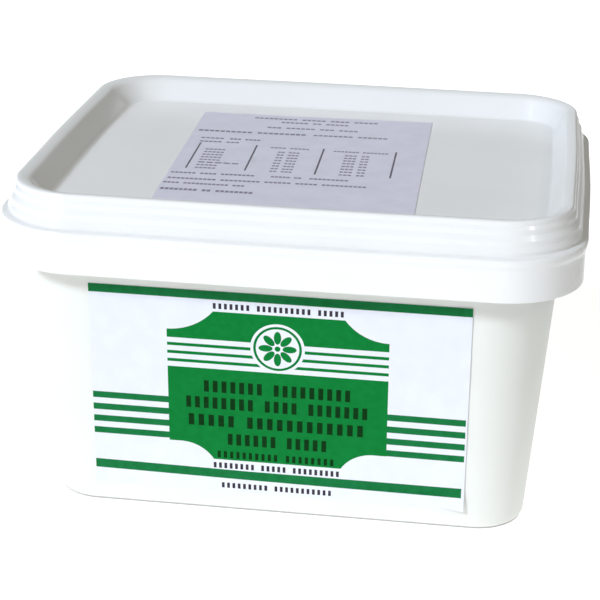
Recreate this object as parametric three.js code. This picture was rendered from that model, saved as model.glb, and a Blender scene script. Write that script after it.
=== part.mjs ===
// A shut rectangular plastic tub of white brined cheese: a tapered tub, a
// press-on lid with a raised rim round a sunken panel, a paper label on the
// front wall and a printed sheet lying on the lid. Millimetres, +Z up, +X
// along the length, the front facing -Y. The origin is the middle of the foot.
import * as THREE from "three";

// Driving dimensions of the lid, measured over its ledge
const LID_LENGTH = 180;
const LID_DEPTH = 156;
const LID_CORNER = 26.2;
const LID_WALL = 1.4;
const SIDE_BOW = 0.55;

// Heights above the foot
const SKIRT_FOOT_Z = 81.4;
const LEDGE_Z = 95.2;
const PANEL_Z = 97.6;
const CREST_Z = 105.3;

// Insets from the ledge's outer edge
const CREST_INSET = 6.2;
const PANEL_INSET = 13.4;
const SKIRT_INSET = 0.6;

// The sunken panel sits a little towards the right-hand end
const PANEL_SHIFT = 0.9;

// Driving dimensions of the tub below the skirt
const TUB_INSET = 8.1;
const TUB_DRAFT = 6.33;
const TUB_TOP_CORNER = 23;
const TUB_FOOT_CORNER = 15.8;
const TUB_FOOT_ROUND = 2.5;

// The tub's rim flange, up inside the skirt
const FLANGE_LOW_Z = 84.5;
const RIM_TOP_Z = 101.6;

// Gap between pieces that touch
const GAP = 0.3;

// The papers, with the places of their middles
const LABEL_WIDTH = 117;
const LABEL_HEIGHT = 69.6;
const LABEL_MIDDLE_X = -1.05;
const LABEL_LOW = 7.1;
const SHEET_WIDTH = 81.4;
const SHEET_LENGTH = 108;
const SHEET_MIDDLE_X = -4.6;
const SHEET_MIDDLE_Y = -1;
const SHEET_TURN_DEG = 1.4;
const PAPER_THICK = 0.3;

// Fineness of the rounded rectangles
const CORNER_STEPS = 10;
const SIDE_STEPS = 4;
const FOOT_STEPS = 4;

const material = (color, roughness) => new THREE.MeshStandardMaterial({ color, roughness, metalness: 0 });
const tubPlastic = material(0xf4f5f4, 0.35);
const lidPlastic = material(0xf7f8f8, 0.3);
const labelPaper = material(0xf3f5fa, 0.6);
const sheetPaper = material(0xd6d6e4, 0.8);

// One rounded rectangle, counter-clockwise from above, its sides bowed
// outwards; shift moves it along X
function ring({ halfX, halfY, radius, z, bow = 0, shift = 0 }) {
  const corners = [
    { x: 1, y: -1, start: -90 },
    { x: 1, y: 1, start: 0 },
    { x: -1, y: 1, start: 90 },
    { x: -1, y: -1, start: 180 },
  ];
  const arcs = corners.map(({ x, y, start }) => {
    const centre = new THREE.Vector2(x * (halfX - radius), y * (halfY - radius));
    return Array.from({ length: CORNER_STEPS + 1 }, (_, step) => {
      const angle = THREE.MathUtils.degToRad(start + (90 * step) / CORNER_STEPS);
      return new THREE.Vector2(Math.cos(angle), Math.sin(angle)).multiplyScalar(radius).add(centre);
    });
  });
  const points = [];
  arcs.forEach((arc, index) => {
    const next = arcs[(index + 1) % arcs.length][0];
    const last = arc[arc.length - 1];
    const outward = next.clone().sub(last).normalize();
    outward.set(outward.y, -outward.x);
    points.push(...arc);
    for (let step = 1; step < SIDE_STEPS; step += 1) {
      const along = step / SIDE_STEPS;
      const bulge = bow * (1 - (2 * along - 1) ** 2);
      points.push(last.clone().lerp(next, along).addScaledVector(outward, bulge));
    }
  });
  return points.map((point) => new THREE.Vector3(point.x + shift, point.y, z));
}

// A closed solid through rings of equal count, from its top cap over the
// outside to its bottom cap
function loft(rings) {
  const count = rings[0].length;
  const middle = (points) => points.reduce((sum, point) => sum.add(point), new THREE.Vector3()).divideScalar(count);
  const points = [...rings.flat(), middle(rings[0]), middle(rings[rings.length - 1])];
  const topMiddle = points.length - 2;
  const bottomMiddle = points.length - 1;
  const bottomStart = (rings.length - 1) * count;
  const faces = [];
  for (let index = 0; index < count; index += 1) {
    const next = (index + 1) % count;
    faces.push(topMiddle, index, next);
    faces.push(bottomMiddle, bottomStart + next, bottomStart + index);
    for (let level = 0; level < rings.length - 1; level += 1) {
      const upper = level * count;
      const lower = upper + count;
      faces.push(upper + index, lower + index, lower + next);
      faces.push(upper + index, lower + next, upper + next);
    }
  }
  const geometry = new THREE.BufferGeometry().setFromPoints(points);
  geometry.setIndex(faces);
  geometry.computeVertexNormals();
  return geometry;
}

// A ring of the lid at an inset from the ledge's edge; the shift towards
// the right-hand end grows from nothing at the crest to all at the panel
function lidRing([inset, z]) {
  const share = THREE.MathUtils.clamp((inset - CREST_INSET) / (PANEL_INSET - CREST_INSET), 0, 1);
  return ring({
    halfX: LID_LENGTH / 2 - inset,
    halfY: LID_DEPTH / 2 - inset,
    radius: LID_CORNER - inset,
    z,
    bow: SIDE_BOW,
    shift: PANEL_SHIFT * share,
  });
}

// The lid's outside as insets and heights: the panel, the sloped wall up to
// the rolled crest, three low ridges down the flared outer wall, the ledge
// with its lip, and the skirt
function lidOutside() {
  return [
    [PANEL_INSET + 0.6, PANEL_Z],
    [PANEL_INSET - 0.7, PANEL_Z + 0.7],
    [CREST_INSET + 2.3, CREST_Z - 1.9],
    [CREST_INSET + 1.2, CREST_Z - 0.5],
    [CREST_INSET, CREST_Z],
    [CREST_INSET - 1.1, CREST_Z - 0.5],
    [4.75, 103.7],
    [4.1, 102.7],
    [3.85, 101.2],
    [2.9, 99.7],
    [2.7, 98.1],
    [2, 96.6],
    [2, LEDGE_Z + 0.3],
    [0.3, LEDGE_Z],
    [0, LEDGE_Z - 0.5],
    [0, LEDGE_Z - 2.2],
    [SKIRT_INSET, LEDGE_Z - 3.6],
    [SKIRT_INSET, SKIRT_FOOT_Z + 0.6],
    [SKIRT_INSET + 0.5, SKIRT_FOOT_Z],
  ];
}

// The lid's underside, one wall thickness in: up inside the skirt, under
// the ledge, into the hollow of the crest and down under the panel
function lidUnderside() {
  const skirtInner = SKIRT_INSET + LID_WALL;
  return [
    [skirtInner, SKIRT_FOOT_Z],
    [skirtInner, LEDGE_Z - LID_WALL],
    [3.7, LEDGE_Z - LID_WALL + 0.4],
    [5.7, CREST_Z - 3.3],
    [CREST_INSET + 0.3, CREST_Z - 2],
    [CREST_INSET + 1.1, CREST_Z - 3],
    [PANEL_INSET - 1.8, PANEL_Z - LID_WALL],
  ];
}

// The walls of the tub lean in towards the foot and its corners tighten
function tubRing(z, inset = 0) {
  const drop = 1 - z / SKIRT_FOOT_Z;
  const leaning = TUB_INSET + TUB_DRAFT * drop + inset;
  return ring({
    halfX: LID_LENGTH / 2 - leaning,
    halfY: LID_DEPTH / 2 - leaning,
    radius: THREE.MathUtils.lerp(TUB_TOP_CORNER, TUB_FOOT_CORNER, drop) - inset,
    z,
  });
}

// The tub's top follows the lid's underside with a gap, so its rim stands
// up inside the crest and its flange fills the skirt
function tubTop() {
  const flangeInset = SKIRT_INSET + LID_WALL + GAP;
  const underPanel = PANEL_Z - LID_WALL - GAP;
  return [
    [PANEL_INSET - 1, underPanel],
    [PANEL_INSET - 2.3, underPanel],
    [CREST_INSET + 0.8, RIM_TOP_Z],
    [CREST_INSET - 0.1, RIM_TOP_Z],
    [4.1, LEDGE_Z - LID_WALL],
    [flangeInset, LEDGE_Z - LID_WALL - GAP],
    [flangeInset, FLANGE_LOW_Z],
  ];
}

function tubRings() {
  const rings = tubTop().map(lidRing);
  rings.push(tubRing(FLANGE_LOW_Z));
  for (let step = 0; step <= FOOT_STEPS; step += 1) {
    const angle = (Math.PI / 2) * (step / FOOT_STEPS);
    const height = TUB_FOOT_ROUND * (1 - Math.sin(angle));
    rings.push(tubRing(height, TUB_FOOT_ROUND * (1 - Math.cos(angle))));
  }
  return rings;
}

function makeTub() {
  const mesh = new THREE.Mesh(loft(tubRings()), tubPlastic);
  mesh.name = "tub";
  return mesh;
}

function makeLid() {
  const rings = [...lidOutside(), ...lidUnderside()].map(lidRing);
  const mesh = new THREE.Mesh(loft(rings), lidPlastic);
  mesh.name = "lid";
  return mesh;
}

// The label lies against the leaning front wall, so it stands in a group
// that has the wall's foot as its origin and leans with it
function makeLabel() {
  const mesh = new THREE.Mesh(new THREE.BoxGeometry(LABEL_WIDTH, PAPER_THICK, LABEL_HEIGHT), labelPaper);
  mesh.name = "front_label";
  mesh.position.set(LABEL_MIDDLE_X, -(GAP + PAPER_THICK / 2), LABEL_LOW + LABEL_HEIGHT / 2);
  const wall = new THREE.Group();
  wall.position.y = -(LID_DEPTH / 2 - TUB_INSET - TUB_DRAFT);
  wall.rotation.x = Math.atan2(TUB_DRAFT, SKIRT_FOOT_Z);
  wall.add(mesh);
  return wall;
}

function makeSheet() {
  const mesh = new THREE.Mesh(new THREE.BoxGeometry(SHEET_WIDTH, SHEET_LENGTH, PAPER_THICK), sheetPaper);
  mesh.name = "lid_sheet";
  mesh.position.set(SHEET_MIDDLE_X, SHEET_MIDDLE_Y, PANEL_Z + GAP + PAPER_THICK / 2);
  mesh.rotation.z = THREE.MathUtils.degToRad(SHEET_TURN_DEG);
  return mesh;
}

const group = new THREE.Group();
group.add(makeTub(), makeLid(), makeLabel(), makeSheet());

export default group;
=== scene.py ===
"""A shut rectangular plastic tub of white brined cheese, with its press-on lid, its paper front
label and the printed sheet on its lid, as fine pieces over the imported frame."""
import math

import bpy
from mathutils import Matrix, Vector
from mathutils.geometry import delaunay_2d_cdt


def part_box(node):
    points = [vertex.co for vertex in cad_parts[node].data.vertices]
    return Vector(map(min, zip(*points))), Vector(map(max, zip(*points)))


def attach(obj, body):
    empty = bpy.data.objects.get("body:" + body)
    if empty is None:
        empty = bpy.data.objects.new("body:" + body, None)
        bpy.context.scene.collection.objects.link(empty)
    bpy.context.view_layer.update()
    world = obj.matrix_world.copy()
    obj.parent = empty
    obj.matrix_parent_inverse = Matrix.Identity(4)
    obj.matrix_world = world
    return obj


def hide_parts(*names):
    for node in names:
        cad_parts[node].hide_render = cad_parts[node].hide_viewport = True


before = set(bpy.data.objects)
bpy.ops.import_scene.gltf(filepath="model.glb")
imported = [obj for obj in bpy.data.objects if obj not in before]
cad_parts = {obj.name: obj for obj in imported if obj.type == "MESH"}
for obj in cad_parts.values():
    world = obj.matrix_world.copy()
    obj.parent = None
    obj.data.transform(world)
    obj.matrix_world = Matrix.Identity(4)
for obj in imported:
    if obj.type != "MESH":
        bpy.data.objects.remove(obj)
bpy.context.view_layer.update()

# Shapes are worked out in millimetres, and add_mesh turns them into metres
MM = 0.001


def box_in_millimetres(node):
    low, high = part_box(node)
    return low / MM, high / MM


lid_low, lid_high = box_in_millimetres("lid")
label_low, label_high = box_in_millimetres("front_label")
sheet_low, sheet_high = box_in_millimetres("lid_sheet")

# The lid, measured over its ledge; an inset is how far in from the ledge's edge
SIDE_BOW = 0.55
LID_HALF_X = (lid_high.x - lid_low.x) / 2 - SIDE_BOW
LID_HALF_Y = (lid_high.y - lid_low.y) / 2 - SIDE_BOW
LID_CORNER = 26.2
LID_WALL = 1.4
CREST_Z = lid_high.z
SKIRT_FOOT_Z = lid_low.z
PAPER_GAP = 0.3
PANEL_Z = sheet_low.z - PAPER_GAP
PANEL_ABOVE_LEDGE = 2.4
LEDGE_Z = PANEL_Z - PANEL_ABOVE_LEDGE
CREST_INSET = 6.9
PANEL_INSET = 13.3
PANEL_SHIFT = 0.9
SKIRT_INSET = 0.6
SKIRT_INNER = SKIRT_INSET + LID_WALL

# The ridges down the lid's flared side, from the crest to the ledge
RIDGES = 2
RIDGES_TOP_Z = CREST_Z - 2.6
RIDGES_TOP_INSET = 4.1
RIDGE_PITCH = 3.1
RIDGE_STEP_OUT = 1.2
RIDGE_FACE = 1.5
RIDGE_LEAN = 0.2
RIDGE_ROUND = 0.6
LAST_RIDGE_INSET = 2.0

# The tub below the lid, its foot, and its rim up inside the skirt
TUB_INSET = 8.1
TUB_DRAFT = 6.33
TUB_TOP_CORNER = 23
TUB_FOOT_CORNER = 15.8
TUB_FOOT_ROUND = 2.5
FOOT_RING = 4.5
FOOT_RECESS = 0.9
FLANGE_LOW_Z = 84.5
FLANGE_INSET = SKIRT_INNER + PAPER_GAP
RIM_TOP_Z = SKIRT_FOOT_Z + 20.2
RIM_OUTER_INSET = 6.1
RIM_INNER_INSET = 7
RIM_ROUND = 0.3

# The front wall leans out from its foot
WALL_LEAN = math.atan2(TUB_DRAFT, SKIRT_FOOT_Z)
WALL_FOOT = Vector((0, TUB_INSET + TUB_DRAFT - LID_HALF_Y, 0))
UP_WALL = Vector((0, -math.sin(WALL_LEAN), math.cos(WALL_LEAN)))
OUT_OF_WALL = Vector((0, -math.cos(WALL_LEAN), -math.sin(WALL_LEAN)))

# The papers
PAPER_THICK = 0.12
PAPER_CLEARANCE = 0.03
LABEL_LEFT = label_low.x
LABEL_RIGHT = label_high.x
LABEL_BOTTOM = label_low.z / math.cos(WALL_LEAN)
LABEL_TOP = label_high.z / math.cos(WALL_LEAN)
SHEET_HALF_WIDTH = 40.7
SHEET_HALF_LENGTH = 54
SHEET_TURN = math.radians(1.4)
SHEET_MIDDLE = (sheet_low + sheet_high) / 2

# How the papers stand off what they lie on
CREASES_FROM = 25
CREASE_HEIGHT = 0.05
LABEL_EDGE_WIDTH = 7
LABEL_EDGE_LIFT = 0.16
CURL_REACH = 9
CURL_HEIGHT = 1.3
SHEET_SIDE_WIDTH = 9
SHEET_END_WIDTH = 10
SHEET_EDGE_LIFT = 0.02
RIPPLE_HEIGHT = 0.05

# Fineness of the meshes; a rounding takes at most MOST_OF_STRETCH of the stretch on each side of it
CORNER_STEPS = 24
SIDE_STEPS = 20
DEGREES_PER_STEP = 12
LEAST_ARC_STEPS = 3
GUARD = 0.25
GUARDED_LENGTH = 4 * GUARD
MOST_OF_STRETCH = 0.46
PAPER_GRID = 2.5
SHARP_ANGLE = math.radians(40)

# The material numbers of the label's and the sheet's prints; 0 is bare paper
PAPER, GREEN, BAR_GREEN, DARK_GREEN, DARK_GREY = 0, 1, 2, 3, 4
PRINT, RULE = 1, 2

# The front label's layout, in millimetres from the tub's middle and up the wall
TOP_BAR_HEIGHT = 2.8
BOTTOM_BAR = 11.5
BOTTOM_BAR_HEIGHT = 3.15
BOTTOM_BAR_BEND = -10
BOTTOM_BAR_RISE = 0.6
BOTTOM_BAR_MARGIN = 0.9
PLAQUE_LEFT = -35.5
PLAQUE_RIGHT = 32.9
PLAQUE_SHOULDER = 63.0
PLAQUE_TOP = 69.85
PLAQUE_TOP_LEFT = -21
PLAQUE_TOP_RIGHT = 19.4
PLAQUE_HIP = 24
PLAQUE_FOOT = 18.3
PLAQUE_FOOT_LEFT = -21.4
PLAQUE_FOOT_RIGHT = 18.7
HIP_LEFT = -31.7
HIP_RIGHT = 28.8
STRIPES = 4
STRIPES_LOW = PLAQUE_HIP + 0.3
STRIPE_PITCH = 4.2
STRIPE_HEIGHT = 2.2
STRIPE_TUCK = 1
LEFT_STRIPE_RAISE = 0.4
RIGHT_STRIPE_DROP = 0.2
RIGHT_STRIPE_MARGIN = 0.5
WHITE_STRIPE_LOW = 50.25
WHITE_STRIPE_PITCH = 2.75
WHITE_STRIPE_HEIGHT = 1.7
EMBLEM_X = -1.2
EMBLEM_Y = 58.6
EMBLEM_RADIUS = 8.4
EMBLEM_RING_OUTER = 7.5
EMBLEM_RING_INNER = 6.7
EMBLEM_HUB = 0.9
PETALS = 8
PETAL_INNER = 1.5
PETAL_OUTER = 5.9
PETAL_HALF_WIDTH = 1.15

# Each row of blocks on the label: its ink, left, right, foot and height, how many blocks are in
# each group, and the share of its pitch that a block fills
LABEL_ROWS = (
    (DARK_GREEN, -24.2, 22.5, 42.1, 4, (7, 9), 0.56),
    (DARK_GREEN, -29.9, 27.9, 36.3, 4, (8, 4, 7), 0.56),
    (DARK_GREEN, -29.2, 26.8, 30.1, 4, (5, 12), 0.56),
    (DARK_GREEN, -16.9, 15.3, 23.8, 4, (6, 5), 0.56),
    (DARK_GREEN, -20.2, 17.4, 19.0, 2.4, (10, 8), 0.5),
    (DARK_GREY, -21, 19.7, 70.8, 1.9, (7, 10, 5), 0.52),
    (DARK_GREY, -21.5, 19.0, 15.2, 2.0, (8, 5, 9), 0.52),
    (DARK_GREY, -19, 16.6, 8.1, 1.9, (9, 11), 0.52),
)
GROUP_GAP = 0.9

# The lid sheet's layout, in millimetres from its middle. Each row of blocks: its left, right and
# middle, how many blocks are in each group, and its height
SHEET_ROWS = (
    (-22, 22, 49.4, (9, 5, 4, 5), 1.5),
    (-12, 12, 45.1, (6, 2, 5), 1.5),
    (-16, 16, 38.0, (3, 6, 3, 4), 1.5),
    (-39, -1.4, 30.7, (10, 9), 1.9),
    (1.0, 26.8, 30.7, (8, 6), 1.5),
    (-36.6, -28.5, 21.5, (5,), 1.4),
    (-26.7, -16.0, 21.5, (3, 4), 1.6),
    (-36.4, -22.7, 17.3, (5, 3), 1.4),
    (-11.6, 1.7, 13.5, (4, 5), 1.3),
    (9.8, 28.4, 13.0, (7, 7), 1.3),
    (-39.7, -12.4, -19.0, (6, 4, 8), 1.5),
    (-7.2, 2.8, -19.0, (5, 2), 1.5),
    (5.2, 17.9, -19.0, (9,), 1.5),
    (-39.7, 24.2, -25.0, (11, 9, 6, 5, 10), 1.5),
    (-40.2, -14.0, -30.0, (4, 11, 3), 1.5),
    (-39.9, -10.4, -36.7, (8, 2, 8), 2.0),
)
SHEET_FILL = 0.8

# The table on the lid sheet; each column has its left, its right and its groups of blocks
TABLE_COLUMNS = ((-33, -26, (5,)), (-8.5, -1, (2, 3)), (14, 22.5, (3, 2)))
TABLE_ROWS = 8
TABLE_FIRST_ROW = 8.5
TABLE_ROWS_SPAN = 21.5
TABLE_PRINT = 1.3
LONG_NAME_ROW = 5
LONG_NAME_EXTRA = 7
TABLE_RULES = (-35.8, -16.5, 6.3, 30.7)
TABLE_TOP = 15.5
TABLE_FOOT = -14
RULE_HALF_WIDTH = 0.3

# The stage
FLOOR_HALF = 6000
FLOOR_Z = -0.1
FLOOR_GLOW = 0.8
GLOW_NEAR = 130
GLOW_FAR = 270
FOOT_SHADE_Z = -0.05
FOOT_SHADE_INSET = 0.6
FOOT_SHADE_GLOW = 0.2
BACKDROP_LEFT = -1200
BACKDROP_RIGHT = 220
BACKDROP_Y = 1500
BACKDROP_HEIGHT = 1100

# The camera, from the fit of the photograph's edges: metres, radians, and millimetres for the lens
CAMERA_PLACE = Vector((0.07688, -0.58757, 0.27749))
CAMERA_YAW = 0.136735
CAMERA_PITCH = 0.368775
CAMERA_ROLL = 0.0179647
SENSOR_WIDTH = 36
LENS = 112.27

# Most values of a noise texture lie between these
NOISE_LOW = 0.25
NOISE_HIGH = 0.75


def srgb(red, green, blue):
    """A linear colour from its 0 to 255 screen values"""
    def linear(value):
        share = value / 255
        return share / 12.92 if share <= 0.04045 else ((share + 0.055) / 1.055) ** 2.4
    return linear(red), linear(green), linear(blue), 1.0


def smooth_step(share):
    share = min(max(share, 0.0), 1.0)
    return share * share * (3 - 2 * share)


# Materials


def new_material(name):
    """A plain node material, with its nodes, its links and its shader"""
    material = bpy.data.materials.new(name)
    material.use_nodes = True
    nodes = material.node_tree.nodes
    shader = nodes["Principled BSDF"]
    return material, nodes, material.node_tree.links, shader


def noise(nodes, links, scale, detail, stretch=(1, 1, 1)):
    """A noise value over the object's own coordinates; scale is in features per metre"""
    place = nodes.new("ShaderNodeTexCoord")
    mapping = nodes.new("ShaderNodeMapping")
    mapping.inputs["Scale"].default_value = stretch
    texture = nodes.new("ShaderNodeTexNoise")
    texture.inputs["Scale"].default_value = scale
    texture.inputs["Detail"].default_value = detail
    links.new(place.outputs["Object"], mapping.inputs["Vector"])
    links.new(mapping.outputs["Vector"], texture.inputs["Vector"])
    return texture.outputs["Fac"]


def fibre_noise(nodes, links):
    """Short fibres that lie along the paper"""
    return noise(nodes, links, scale=1400, detail=3, stretch=(0.35, 1, 1))


def vary_colour(nodes, links, shader, factor, low, high):
    """The base colour runs between two shades with the factor"""
    ramp = nodes.new("ShaderNodeValToRGB")
    ramp.color_ramp.interpolation = "EASE"
    ramp.color_ramp.elements[0].position = NOISE_LOW
    ramp.color_ramp.elements[0].color = low
    ramp.color_ramp.elements[1].position = NOISE_HIGH
    ramp.color_ramp.elements[1].color = high
    links.new(factor, ramp.inputs["Fac"])
    links.new(ramp.outputs["Color"], shader.inputs["Base Color"])


def vary_roughness(nodes, links, shader, factor, middle, spread):
    """The roughness runs with the factor from the spread under its middle to the spread over it"""
    span = nodes.new("ShaderNodeMapRange")
    span.interpolation_type = "SMOOTHSTEP"
    span.inputs["From Min"].default_value = NOISE_LOW
    span.inputs["From Max"].default_value = NOISE_HIGH
    span.inputs["To Min"].default_value = middle - spread
    span.inputs["To Max"].default_value = middle + spread
    links.new(factor, span.inputs["Value"])
    links.new(span.outputs["Result"], shader.inputs["Roughness"])


def add_bump(nodes, links, shader, heights):
    """Bumps in turn over one another; heights lists each factor with its height in millimetres"""
    normal = None
    for factor, height in heights:
        bump = nodes.new("ShaderNodeBump")
        bump.inputs["Distance"].default_value = height * MM
        links.new(factor, bump.inputs["Height"])
        if normal is not None:
            links.new(normal, bump.inputs["Normal"])
        normal = bump.outputs["Normal"]
    links.new(normal, shader.inputs["Normal"])


def plastic(name, low, high, roughness):
    """Milky polypropylene: a faint mottle in its colour and gloss, over slow moulded waves"""
    material, nodes, links, shader = new_material(name)
    mottle = noise(nodes, links, scale=28, detail=4)
    vary_colour(nodes, links, shader, mottle, low, high)
    gloss = noise(nodes, links, scale=60, detail=3)
    vary_roughness(nodes, links, shader, gloss, roughness, spread=0.015)
    waves = noise(nodes, links, scale=25, detail=0)
    add_bump(nodes, links, shader, [(waves, 0.03)])
    shader.inputs["IOR"].default_value = 1.49
    shader.inputs["Specular IOR Level"].default_value = 0.3
    return material


def paper(name, low, high, roughness, fibre_height):
    """Paper with a cloudy formation, a slight cockle and fibres that stand proud"""
    material, nodes, links, shader = new_material(name)
    cloud = noise(nodes, links, scale=160, detail=5)
    vary_colour(nodes, links, shader, cloud, low, high)
    fibres = fibre_noise(nodes, links)
    vary_roughness(nodes, links, shader, fibres, roughness, spread=0.05)
    cockle = noise(nodes, links, scale=60, detail=1)
    add_bump(nodes, links, shader, [(cockle, 0.06), (fibres, fibre_height)])
    shader.inputs["Specular IOR Level"].default_value = 0.3
    return material


def ink(name, low, high, roughness=0.6):
    """Printed ink, a little uneven in its density, over the paper's fibres"""
    material, nodes, links, shader = new_material(name)
    density = noise(nodes, links, scale=420, detail=4)
    vary_colour(nodes, links, shader, density, low, high)
    fibres = fibre_noise(nodes, links)
    vary_roughness(nodes, links, shader, fibres, roughness, spread=0.06)
    add_bump(nodes, links, shader, [(fibres, 0.006)])
    shader.inputs["Specular IOR Level"].default_value = 0.08
    return material


# Mesh tools


def add_mesh(name, points, faces, materials, material_numbers=None):
    """A piece from points in millimetres"""
    mesh = bpy.data.meshes.new(name)
    mesh.from_pydata([Vector(point) * MM for point in points], [], faces)
    for material in materials:
        mesh.materials.append(material)
    if material_numbers is not None:
        mesh.polygons.foreach_set("material_index", material_numbers)
    piece = bpy.data.objects.new(name, mesh)
    bpy.context.scene.collection.objects.link(piece)
    return piece


def ring(half_x, half_y, radius, z, bow=0.0, shift=0.0):
    """A rounded rectangle at one height, counter-clockwise from above, its sides bowed outwards"""
    quarter_turn = math.radians(90)
    corners = ((1, -1), (1, 1), (-1, 1), (-1, -1))
    centres = [Vector((x * (half_x - radius), y * (half_y - radius))) for x, y in corners]
    points = []
    for quarter, centre in enumerate(centres):
        start = quarter_turn * (quarter - 1)
        end = start + quarter_turn
        for step in range(CORNER_STEPS + 1):
            angle = start + quarter_turn * step / CORNER_STEPS
            points.append(centre + radius * Vector((math.cos(angle), math.sin(angle))))
        outward = Vector((math.cos(end), math.sin(end)))
        side_start = centre + radius * outward
        side_end = centres[(quarter + 1) % len(centres)] + radius * outward
        for step in range(1, SIDE_STEPS):
            share = step / SIDE_STEPS
            bulge = bow * (1 - (2 * share - 1) ** 2) ** 2
            points.append(side_start.lerp(side_end, share) + bulge * outward)
    return [Vector((point.x + shift, point.y, z)) for point in points]


def rounded_corner(before, corner, after):
    """The arc that rounds a corner given as (inset, height, radius) between its neighbours"""
    here = Vector(corner[:2])
    to_before = Vector(before[:2]) - here
    to_after = Vector(after[:2]) - here
    half_angle = to_before.angle(to_after) / 2
    wanted = corner[2] / math.tan(half_angle)
    reach = min(wanted, MOST_OF_STRETCH * to_before.length, MOST_OF_STRETCH * to_after.length)
    radius = reach * math.tan(half_angle)
    to_before.normalize()
    to_after.normalize()
    centre = here + (to_before + to_after).normalized() * (radius / math.sin(half_angle))
    start = here + to_before * reach - centre
    end = here + to_after * reach - centre
    turn = start.angle(end)
    steps = max(LEAST_ARC_STEPS, math.ceil(math.degrees(turn) / DEGREES_PER_STEP))
    arc = []
    for step in range(steps + 1):
        share = step / steps
        spoke = start * math.sin((1 - share) * turn) + end * math.sin(share * turn)
        arc.append(centre + spoke / math.sin(turn))
    return arc


def add_guards(line):
    """The line with a point near each end of its longer stretches, so that they shade as flat"""
    guarded = [line[0]]
    for start, end in zip(line, line[1:]):
        length = (end - start).length
        if length > GUARDED_LENGTH:
            guarded.append(start.lerp(end, GUARD / length))
            guarded.append(end.lerp(start, GUARD / length))
        guarded.append(end)
    return guarded


def rounded_profile(corners):
    """The line through corners given as (inset, height, radius), all but its ends rounded"""
    line = [Vector(corners[0][:2])]
    for before, corner, after in zip(corners, corners[1:], corners[2:]):
        line += rounded_corner(before, corner, after)
    line.append(Vector(corners[-1][:2]))
    return add_guards(line)


def loft(name, rings, material):
    """A closed piece through rings of equal count, from its top cap over the outside to its
    bottom cap"""
    count = len(rings[0])
    points = [point for level in rings for point in level]
    middles = [sum(level, Vector()) / count for level in (rings[0], rings[-1])]
    top_middle = len(points)
    bottom_middle = top_middle + 1
    last = (len(rings) - 1) * count
    faces = []
    for index in range(count):
        following = (index + 1) % count
        faces.append((top_middle, index, following))
        faces.append((bottom_middle, last + following, last + index))
        for level in range(len(rings) - 1):
            upper = level * count
            lower = upper + count
            faces.append((upper + index, lower + index, lower + following, upper + following))
    piece = add_mesh(name, points + middles, faces, [material])
    piece.data.shade_smooth()
    return piece


# The lid and the tub


def lid_ring(inset, z):
    """A level of the lid at an inset from its ledge; the panel's shift grows from the crest
    inwards"""
    share = min(max((inset - CREST_INSET) / (PANEL_INSET - CREST_INSET), 0), 1)
    half_x = LID_HALF_X - inset
    half_y = LID_HALF_Y - inset
    return ring(half_x, half_y, LID_CORNER - inset, z, bow=SIDE_BOW, shift=PANEL_SHIFT * share)


def lid_top():
    """Corners of the panel, the sloped wall and the rolled crest"""
    return [
        (PANEL_INSET + 4, PANEL_Z, 0),
        (PANEL_INSET, PANEL_Z, 1.6),
        (CREST_INSET + 1.8, CREST_Z - 0.8, 2.6),
        (CREST_INSET - 0.2, CREST_Z, 5),
        (4.9, CREST_Z, 1.1),
        (4.75, CREST_Z - 1.6, 0.5),
    ]


def lid_ridges():
    """Corners of the upper ridges, each further out than the one above it"""
    corners = []
    for ridge in range(RIDGES):
        top = RIDGES_TOP_Z - ridge * RIDGE_PITCH
        inset = RIDGES_TOP_INSET - RIDGE_STEP_OUT * ridge
        corners.append((inset, top, RIDGE_ROUND))
        corners.append((inset - RIDGE_LEAN, top - RIDGE_FACE, RIDGE_ROUND))
    return corners


def lid_side():
    """Corners of the last ridge, the ledge, its lip and the skirt"""
    return [
        (LAST_RIDGE_INSET, LEDGE_Z + 1.4, 0.7),
        (LAST_RIDGE_INSET, LEDGE_Z + 0.25, 0.5),
        (0, LEDGE_Z - 0.35, 0.7),
        (0, LEDGE_Z - 2.2, 3.4),
        (SKIRT_INSET, LEDGE_Z - 3.6, 3.4),
        (SKIRT_INSET, SKIRT_FOOT_Z, 0.5),
    ]


def lid_underside():
    """Corners up inside the skirt, under the ledge, into the crest and down under the panel"""
    return [
        (SKIRT_INNER, SKIRT_FOOT_Z, 0.5),
        (SKIRT_INNER, LEDGE_Z - LID_WALL, 0.4),
        (3.7, LEDGE_Z - 1, 0.3),
        (5.7, CREST_Z - 3.3, 0.5),
        (6.5, CREST_Z - 2, 0.5),
        (7.3, CREST_Z - 3, 0.5),
        (PANEL_INSET - 1.7, PANEL_Z - LID_WALL, 0.5),
        (PANEL_INSET + 2, PANEL_Z - LID_WALL, 0),
    ]


def make_lid(material):
    profile = rounded_profile(lid_top() + lid_ridges() + lid_side() + lid_underside())
    lid = loft("lid_shell", [lid_ring(inset, z) for inset, z in profile], material)
    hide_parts("lid")
    return lid


def tub_ring(inset, z):
    """A level of the tub at an inset from its wall's outside, which leans in towards the foot"""
    drop = 1 - z / SKIRT_FOOT_Z
    leaning = TUB_INSET + TUB_DRAFT * drop + inset
    radius = TUB_TOP_CORNER + (TUB_FOOT_CORNER - TUB_TOP_CORNER) * drop - inset
    return ring(LID_HALF_X - leaning, LID_HALF_Y - leaning, radius, z)


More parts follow.
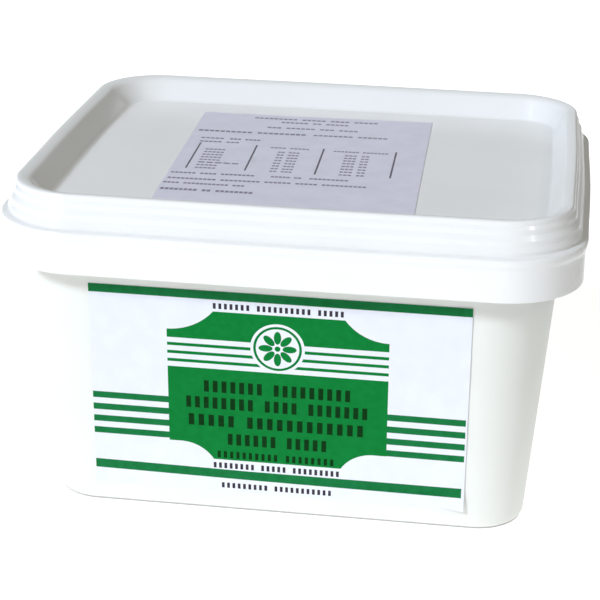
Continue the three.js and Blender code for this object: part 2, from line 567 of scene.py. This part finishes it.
def tub_rim():
    """Corners of the tub's top, its rim and its flange, hidden in the lid"""
    under_lid = PANEL_Z - LID_WALL - PAPER_GAP
    return [
        (PANEL_INSET + 1, under_lid, 0),
        (11.1, under_lid, 0.5),
        (RIM_INNER_INSET, RIM_TOP_Z, RIM_ROUND),
        (RIM_OUTER_INSET, RIM_TOP_Z, RIM_ROUND),
        (4.1, LEDGE_Z - LID_WALL, RIM_ROUND),
        (FLANGE_INSET, LEDGE_Z - LID_WALL - PAPER_GAP, RIM_ROUND),
        (FLANGE_INSET, FLANGE_LOW_Z, 0.4),
        (TUB_INSET - 1, FLANGE_LOW_Z, 0),
    ]


def tub_wall():
    """Corners of the wall, the foot, the standing ring and the shallow recess inside it"""
    return [
        (0, FLANGE_LOW_Z, 0),
        (0, 0, TUB_FOOT_ROUND),
        (FOOT_RING, 0, 0.4),
        (FOOT_RING + 1.2, FOOT_RECESS, 0.6),
        (FOOT_RING + 8, FOOT_RECESS, 0),
    ]


def make_tub(material):
    rings = [lid_ring(inset, z) for inset, z in rounded_profile(tub_rim())]
    rings += [tub_ring(inset, z) for inset, z in rounded_profile(tub_wall())]
    tub = loft("tub_shell", rings, material)
    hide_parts("tub")
    return tub


# Outlines of printed fields


def rectangle(left, right, bottom, top):
    return [(left, bottom), (right, bottom), (right, top), (left, top)]


def circle(middle_x, middle_y, radius, steps=48):
    turns = [2 * math.pi * step / steps for step in range(steps)]
    return [(middle_x + radius * math.cos(turn), middle_y + radius * math.sin(turn)) for turn in turns]


def petal(middle_x, middle_y, turn, steps=16):
    """A pointed petal that stands out from the middle at the turn"""
    outline = []
    for step in range(steps):
        share = step / steps
        along = 0.5 - 0.5 * math.cos(2 * math.pi * share)
        across = -PETAL_HALF_WIDTH * math.sin(2 * math.pi * share)
        far = PETAL_INNER + (PETAL_OUTER - PETAL_INNER) * along
        outline.append((
            middle_x + far * math.cos(turn) - across * math.sin(turn),
            middle_y + far * math.sin(turn) + across * math.cos(turn),
        ))
    return outline


def blocks(left, right, bottom, height, groups, fill):
    """Plain letter-size blocks in word-like groups, spread from left to right"""
    pitch = (right - left) / (sum(groups) + GROUP_GAP * (len(groups) - 1))
    outlines = []
    at = left
    for count in groups:
        for _ in range(count):
            outlines.append(rectangle(at, at + fill * pitch, bottom, bottom + height))
            at += pitch
        at += GROUP_GAP * pitch
    return outlines


# Printed papers


def paper_grid(low, high):
    """Points on an even grid over a rectangle and its edges, but not on its corners"""
    columns = round((high[0] - low[0]) / PAPER_GRID)
    rows = round((high[1] - low[1]) / PAPER_GRID)
    points = []
    for column in range(columns + 1):
        for row in range(rows + 1):
            if 0 < column < columns or 0 < row < rows:
                across = low[0] + (high[0] - low[0]) * column / columns
                up = low[1] + (high[1] - low[1]) * row / rows
                points.append(Vector((across, up)))
    return points


def split_by_fields(low, high, fields):
    """Flat triangles over the rectangle from low to high, split along the fields' outlines: their
    corners, the triangles and each one's material number. fields lists (material number,
    outline), with later fields on top"""
    only_inside = 1
    merge_distance = 1e-4
    outlines = [rectangle(low[0], high[0], low[1], high[1])] + [outline for _, outline in fields]
    numbers = [PAPER] + [number for number, _ in fields]
    flat = []
    loops = []
    for outline in outlines:
        loops.append(list(range(len(flat), len(flat) + len(outline))))
        flat += [Vector(point) for point in outline]
    flat += paper_grid(low, high)
    split = delaunay_2d_cdt(flat, [], loops, only_inside, merge_distance, True)
    corners, _, triangles, _, _, sources = split
    return corners, triangles, [numbers[max(source)] for source in sources]


def printed_paper(name, low, high, fields, place, materials):
    """A thin closed paper with printed fields on its front; place gives the point at x, y and a
    height over the paper's back"""
    corners, front, material_numbers = split_by_fields(low, high, fields)
    count = len(corners)
    points = [place(corner.x, corner.y, PAPER_THICK) for corner in corners]
    points += [place(corner.x, corner.y, 0) for corner in corners]
    faces = [tuple(face) for face in front]
    faces += [tuple(count + corner for corner in reversed(face)) for face in front]
    edges = {(face[turn], face[(turn + 1) % len(face)]) for face in front for turn in range(len(face))}
    for start, end in edges:
        if (end, start) not in edges:
            faces.append((end, start, count + start, count + end))
    material_numbers += [PAPER] * (len(faces) - len(material_numbers))
    piece = add_mesh(name, points, faces, materials, material_numbers)
    piece.data.shade_smooth()
    piece.data.set_sharp_from_angle(angle=SHARP_ANGLE)
    return piece


# The front label


def level_arc(outer, inner, steps=10):
    """An arc from an outer point, where it runs level, to an inner point"""
    across = inner[0] - outer[0]
    rise = inner[1] - outer[1]
    radius = (across ** 2 + rise ** 2) / (2 * rise)
    turn = math.atan2(abs(across), abs(radius) - abs(rise))
    points = []
    for step in range(steps + 1):
        angle = turn * step / steps
        x = outer[0] + math.copysign(abs(radius) * math.sin(angle), across)
        points.append((x, outer[1] + radius * (1 - math.cos(angle))))
    return points


def plaque():
    """A plaque with hollow corners, counter-clockwise from its foot's right end"""
    foot_left = (PLAQUE_FOOT_LEFT, PLAQUE_FOOT)
    foot_right = (PLAQUE_FOOT_RIGHT, PLAQUE_FOOT)
    top_left = (PLAQUE_TOP_LEFT, PLAQUE_TOP)
    top_right = (PLAQUE_TOP_RIGHT, PLAQUE_TOP)
    outline = list(reversed(level_arc((HIP_RIGHT, PLAQUE_HIP), foot_right)))
    outline.append((PLAQUE_RIGHT, PLAQUE_HIP))
    outline += level_arc((PLAQUE_RIGHT, PLAQUE_SHOULDER), top_right)
    outline += list(reversed(level_arc((PLAQUE_LEFT, PLAQUE_SHOULDER), top_left)))
    outline.append((PLAQUE_LEFT, PLAQUE_HIP))
    outline += level_arc((HIP_LEFT, PLAQUE_HIP), foot_left)
    return outline


def bottom_bar():
    """A level bar whose left part rises a little towards its end"""
    right = LABEL_RIGHT - BOTTOM_BAR_MARGIN
    top = BOTTOM_BAR + BOTTOM_BAR_HEIGHT
    return [
        (LABEL_LEFT, BOTTOM_BAR + BOTTOM_BAR_RISE),
        (BOTTOM_BAR_BEND, BOTTOM_BAR),
        (right, BOTTOM_BAR),
        (right, top),
        (BOTTOM_BAR_BEND, top),
        (LABEL_LEFT, top + BOTTOM_BAR_RISE),
    ]


def side_stripes():
    """Stripes from the plaque out to the label's left and right"""
    fields = []
    for stripe in range(STRIPES):
        low = STRIPES_LOW + stripe * STRIPE_PITCH
        left_low = low + LEFT_STRIPE_RAISE
        right_low = low - RIGHT_STRIPE_DROP
        left_end = PLAQUE_LEFT + STRIPE_TUCK
        right_start = PLAQUE_RIGHT - STRIPE_TUCK
        right_end = LABEL_RIGHT - RIGHT_STRIPE_MARGIN
        fields.append((BAR_GREEN, rectangle(LABEL_LEFT, left_end, left_low, left_low + STRIPE_HEIGHT)))
        fields.append((BAR_GREEN, rectangle(right_start, right_end, right_low, right_low + STRIPE_HEIGHT)))
    return fields


def white_stripes():
    """Bare stripes across the plaque"""
    fields = []
    for stripe in range(STRIPES):
        low = WHITE_STRIPE_LOW + stripe * WHITE_STRIPE_PITCH
        fields.append((PAPER, rectangle(PLAQUE_LEFT, PLAQUE_RIGHT, low, low + WHITE_STRIPE_HEIGHT)))
    return fields


def emblem():
    """A plain roundel with a ring and a rosette"""
    fields = [
        (PAPER, circle(EMBLEM_X, EMBLEM_Y, EMBLEM_RADIUS)),
        (GREEN, circle(EMBLEM_X, EMBLEM_Y, EMBLEM_RING_OUTER)),
        (PAPER, circle(EMBLEM_X, EMBLEM_Y, EMBLEM_RING_INNER)),
    ]
    for number in range(PETALS):
        fields.append((GREEN, petal(EMBLEM_X, EMBLEM_Y, 2 * math.pi * number / PETALS)))
    fields.append((GREEN, circle(EMBLEM_X, EMBLEM_Y, EMBLEM_HUB, steps=24)))
    return fields


def label_fields():
    top_bar = rectangle(LABEL_LEFT, LABEL_RIGHT, LABEL_TOP - TOP_BAR_HEIGHT, LABEL_TOP)
    fields = [(BAR_GREEN, top_bar), (BAR_GREEN, bottom_bar())]
    fields += side_stripes()
    fields.append((GREEN, plaque()))
    fields += white_stripes()
    fields += emblem()
    for number, left, right, bottom, height, groups, fill in LABEL_ROWS:
        fields += [(number, outline) for outline in blocks(left, right, bottom, height, groups, fill)]
    return fields


def label_lift(x, up):
    """How far the label stands off the wall: faint slanting creases towards its right end, a
    right edge that has let go a little and a bottom right corner that curls"""
    near_right = smooth_step((x - CREASES_FROM) / (LABEL_RIGHT - CREASES_FROM))
    creases = CREASE_HEIGHT * near_right * (1 + math.sin(0.42 * x - 0.3 * up))
    edge = LABEL_EDGE_LIFT * smooth_step((x - LABEL_RIGHT + LABEL_EDGE_WIDTH) / LABEL_EDGE_WIDTH)
    corner_distance = math.hypot(LABEL_RIGHT - x, up - LABEL_BOTTOM)
    curl = CURL_HEIGHT * smooth_step(1 - corner_distance / CURL_REACH) ** 1.5
    return creases + edge + curl


def on_front_wall(x, up, height):
    off_wall = PAPER_CLEARANCE + label_lift(x, up) + height
    return WALL_FOOT + Vector((x, 0, 0)) + UP_WALL * up + OUT_OF_WALL * off_wall


def make_label(materials):
    low = (LABEL_LEFT, LABEL_BOTTOM)
    high = (LABEL_RIGHT, LABEL_TOP)
    label = printed_paper("label_paper", low, high, label_fields(), on_front_wall, materials)
    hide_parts("front_label")
    return label


# The sheet on the lid


def table_fields():
    """Rows of blocks in the table's columns, one row with a longer name, and the upright rules"""
    fields = []
    for row in range(TABLE_ROWS):
        share = row / (TABLE_ROWS - 1)
        bottom = TABLE_FIRST_ROW - TABLE_ROWS_SPAN * share - TABLE_PRINT / 2
        for column, (left, right, groups) in enumerate(TABLE_COLUMNS):
            extra = LONG_NAME_EXTRA if row == LONG_NAME_ROW and column == 0 else 0
            outlines = blocks(left, right + extra, bottom, TABLE_PRINT, groups, SHEET_FILL)
            fields += [(PRINT, outline) for outline in outlines]
    for x in TABLE_RULES:
        rule = rectangle(x - RULE_HALF_WIDTH, x + RULE_HALF_WIDTH, TABLE_FOOT, TABLE_TOP)
        fields.append((RULE, rule))
    return fields


def sheet_fields():
    """Rows of small plain blocks, and a table"""
    fields = []
    for left, right, middle, groups, height in SHEET_ROWS:
        outlines = blocks(left, right, middle - height / 2, height, groups, SHEET_FILL)
        fields += [(PRINT, outline) for outline in outlines]
    return fields + table_fields()


def sheet_lift(x, y):
    """The sheet lies flat but for a slow ripple and edges that rise very slightly"""
    side = smooth_step((abs(x) - SHEET_HALF_WIDTH + SHEET_SIDE_WIDTH) / SHEET_SIDE_WIDTH)
    end = smooth_step((abs(y) - SHEET_HALF_LENGTH + SHEET_END_WIDTH) / SHEET_END_WIDTH)
    ripple = RIPPLE_HEIGHT * (1 + math.sin(0.21 * y + 0.09 * x))
    return SHEET_EDGE_LIFT * (side + end) + ripple


def on_panel(x, y, height):
    across = x * math.cos(SHEET_TURN) - y * math.sin(SHEET_TURN)
    back = x * math.sin(SHEET_TURN) + y * math.cos(SHEET_TURN)
    up = PANEL_Z + PAPER_CLEARANCE + sheet_lift(x, y) + height
    return Vector((SHEET_MIDDLE.x + across, SHEET_MIDDLE.y + back, up))


def make_sheet(materials):
    low = (-SHEET_HALF_WIDTH, -SHEET_HALF_LENGTH)
    high = (SHEET_HALF_WIDTH, SHEET_HALF_LENGTH)
    sheet = printed_paper("sheet_paper", low, high, sheet_fields(), on_panel, materials)
    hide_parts("lid_sheet")
    return sheet


# Stage


def stage_material(name, glow=0.0):
    """A dull pale grey that can glow"""
    material, nodes, links, shader = new_material(name)
    mottle = noise(nodes, links, scale=4, detail=3)
    vary_colour(nodes, links, shader, mottle, srgb(198, 198, 196), srgb(202, 202, 200))
    shader.inputs["Roughness"].default_value = 0.8
    shader.inputs["Specular IOR Level"].default_value = 0.1
    shader.inputs["Emission Color"].default_value = (1, 1, 1, 1)
    shader.inputs["Emission Strength"].default_value = glow
    return material


def fade_glow(material, glow, near, far):
    """The glow falls to nothing towards the right, from near to far in millimetres"""
    nodes = material.node_tree.nodes
    links = material.node_tree.links
    place = nodes.new("ShaderNodeTexCoord")
    parts = nodes.new("ShaderNodeSeparateXYZ")
    fade = nodes.new("ShaderNodeMapRange")
    fade.interpolation_type = "SMOOTHSTEP"
    fade.inputs["From Min"].default_value = near * MM
    fade.inputs["From Max"].default_value = far * MM
    fade.inputs["To Min"].default_value = glow
    fade.inputs["To Max"].default_value = 0
    links.new(place.outputs["Object"], parts.inputs["Vector"])
    links.new(parts.outputs["X"], fade.inputs["Value"])
    links.new(fade.outputs["Result"], nodes["Principled BSDF"].inputs["Emission Strength"])


def make_floor():
    """A wide pale floor that glows as a light table does, but for its part on the right"""
    material = stage_material("pale_floor")
    fade_glow(material, FLOOR_GLOW, GLOW_NEAR, GLOW_FAR)
    outline = rectangle(-FLOOR_HALF, FLOOR_HALF, -FLOOR_HALF, FLOOR_HALF)
    floor = add_mesh("floor", [(x, y, FLOOR_Z) for x, y in outline], [(0, 1, 2, 3)], [material])


def make_foot_shade():
    """A patch under the tub that glows less, so that a thin line of shade shows along its foot"""
    material = stage_material("foot_shade", FOOT_SHADE_GLOW)
    inset = TUB_INSET + TUB_DRAFT + FOOT_SHADE_INSET
    corner = TUB_FOOT_CORNER - FOOT_SHADE_INSET
    outline = ring(LID_HALF_X - inset, LID_HALF_Y - inset, corner, FOOT_SHADE_Z)
    patch = add_mesh("foot_shade", outline, [tuple(range(len(outline)))], [material])


def make_backdrop():
    """A pale screen far behind the tub, which the lid's panel mirrors"""
    material = stage_material("pale_backdrop")
    outline = rectangle(BACKDROP_LEFT, BACKDROP_RIGHT, 0, BACKDROP_HEIGHT)
    backdrop = add_mesh("backdrop", [(x, BACKDROP_Y, z) for x, z in outline], [(0, 1, 2, 3)], [material])


# Lights and camera


def direction_to(azimuth, elevation):
    """The direction from the object in degrees: azimuth 0 is the front, positive to the right"""
    around = math.radians(azimuth)
    above = math.radians(elevation)
    level = math.cos(above)
    return Vector((math.sin(around) * level, -math.cos(around) * level, math.sin(above)))


def add_lamp(name, kind, azimuth, elevation, strength, colour, distance=2):
    """A lamp at a distance in metres that faces the object's middle"""
    data = bpy.data.lights.new(name, kind)
    data.energy = strength
    data.color = colour
    lamp = bpy.data.objects.new(name, data)
    direction = direction_to(azimuth, elevation)
    lamp.location = direction * distance + Vector((0, 0, CREST_Z * MM / 2))
    lamp.rotation_euler = direction.to_track_quat("Z", "Y").to_euler()
    bpy.context.scene.collection.objects.link(lamp)
    return data


def make_lights():
    """A cool key from the left, a weak warm fill from the right and a small spark of gloss"""
    key = add_lamp("key", "SUN", azimuth=-40, elevation=37, strength=2.3, colour=(0.84, 0.91, 1.0))
    key.angle = math.radians(12)
    fill = add_lamp("fill", "SUN", azimuth=50, elevation=45, strength=0.4, colour=(1.0, 0.96, 0.92))
    fill.angle = math.radians(40)
    spark = add_lamp(
        "spark", "AREA", azimuth=54, elevation=35.5, strength=0.55, colour=(1, 1, 1), distance=1.1
    )
    spark.shape = "DISK"
    spark.size = 0.02


def make_room():
    """The room's own soft warm light"""
    world = bpy.data.worlds.new("room")
    world.use_nodes = True
    background = world.node_tree.nodes["Background"]
    background.inputs["Color"].default_value = (1.0, 0.97, 0.8, 1)
    background.inputs["Strength"].default_value = 0.18
    bpy.context.scene.world = world
    bpy.context.scene.view_settings.view_transform = "Standard"


def make_camera():
    data = bpy.data.cameras.new("camera")
    data.sensor_width = SENSOR_WIDTH
    data.lens = LENS
    camera = bpy.data.objects.new("camera", data)
    back = direction_to(math.degrees(CAMERA_YAW), math.degrees(CAMERA_PITCH))
    right = Vector((math.cos(CAMERA_YAW), math.sin(CAMERA_YAW), 0))
    up = back.cross(right)
    turned_right = right * math.cos(CAMERA_ROLL) + up * math.sin(CAMERA_ROLL)
    turned_up = up * math.cos(CAMERA_ROLL) - right * math.sin(CAMERA_ROLL)
    axes = Matrix((turned_right, turned_up, back)).transposed().to_4x4()
    camera.matrix_world = Matrix.Translation(CAMERA_PLACE) @ axes
    bpy.context.scene.collection.objects.link(camera)
    bpy.context.scene.camera = camera


# The object


def make_object():
    tub_white = plastic("tub_polypropylene", srgb(231, 233, 230), srgb(234, 236, 233), roughness=0.32)
    lid_white = plastic("lid_polypropylene", srgb(243, 244, 246), srgb(246, 247, 249), roughness=0.16)
    label_white = paper(
        "label_white", srgb(228, 231, 243), srgb(233, 236, 247), roughness=0.5, fibre_height=0.004
    )
    label_materials = [
        label_white,
        ink("plaque_green", srgb(0, 118, 48), srgb(6, 125, 54)),
        ink("bar_green", srgb(16, 110, 56), srgb(24, 119, 65)),
        ink("dark_green", srgb(0, 46, 8), srgb(2, 54, 14)),
        ink("dark_grey", srgb(50, 44, 54), srgb(66, 58, 68)),
    ]
    sheet_grey = paper(
        "sheet_grey", srgb(225, 224, 241), srgb(231, 230, 246), roughness=0.75, fibre_height=0.01
    )
    sheet_materials = [
        sheet_grey,
        ink("print_grey", srgb(138, 132, 152), srgb(156, 150, 170), roughness=0.75),
        ink("rule_grey", srgb(106, 101, 114), srgb(120, 115, 128), roughness=0.75),
    ]
    pieces = [
        make_tub(tub_white),
        make_lid(lid_white),
        make_label(label_materials),
        make_sheet(sheet_materials),
    ]
    for piece in pieces:
        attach(piece, "root")


make_camera()
make_lights()
make_room()
make_floor()
make_foot_shade()
make_backdrop()
make_object()
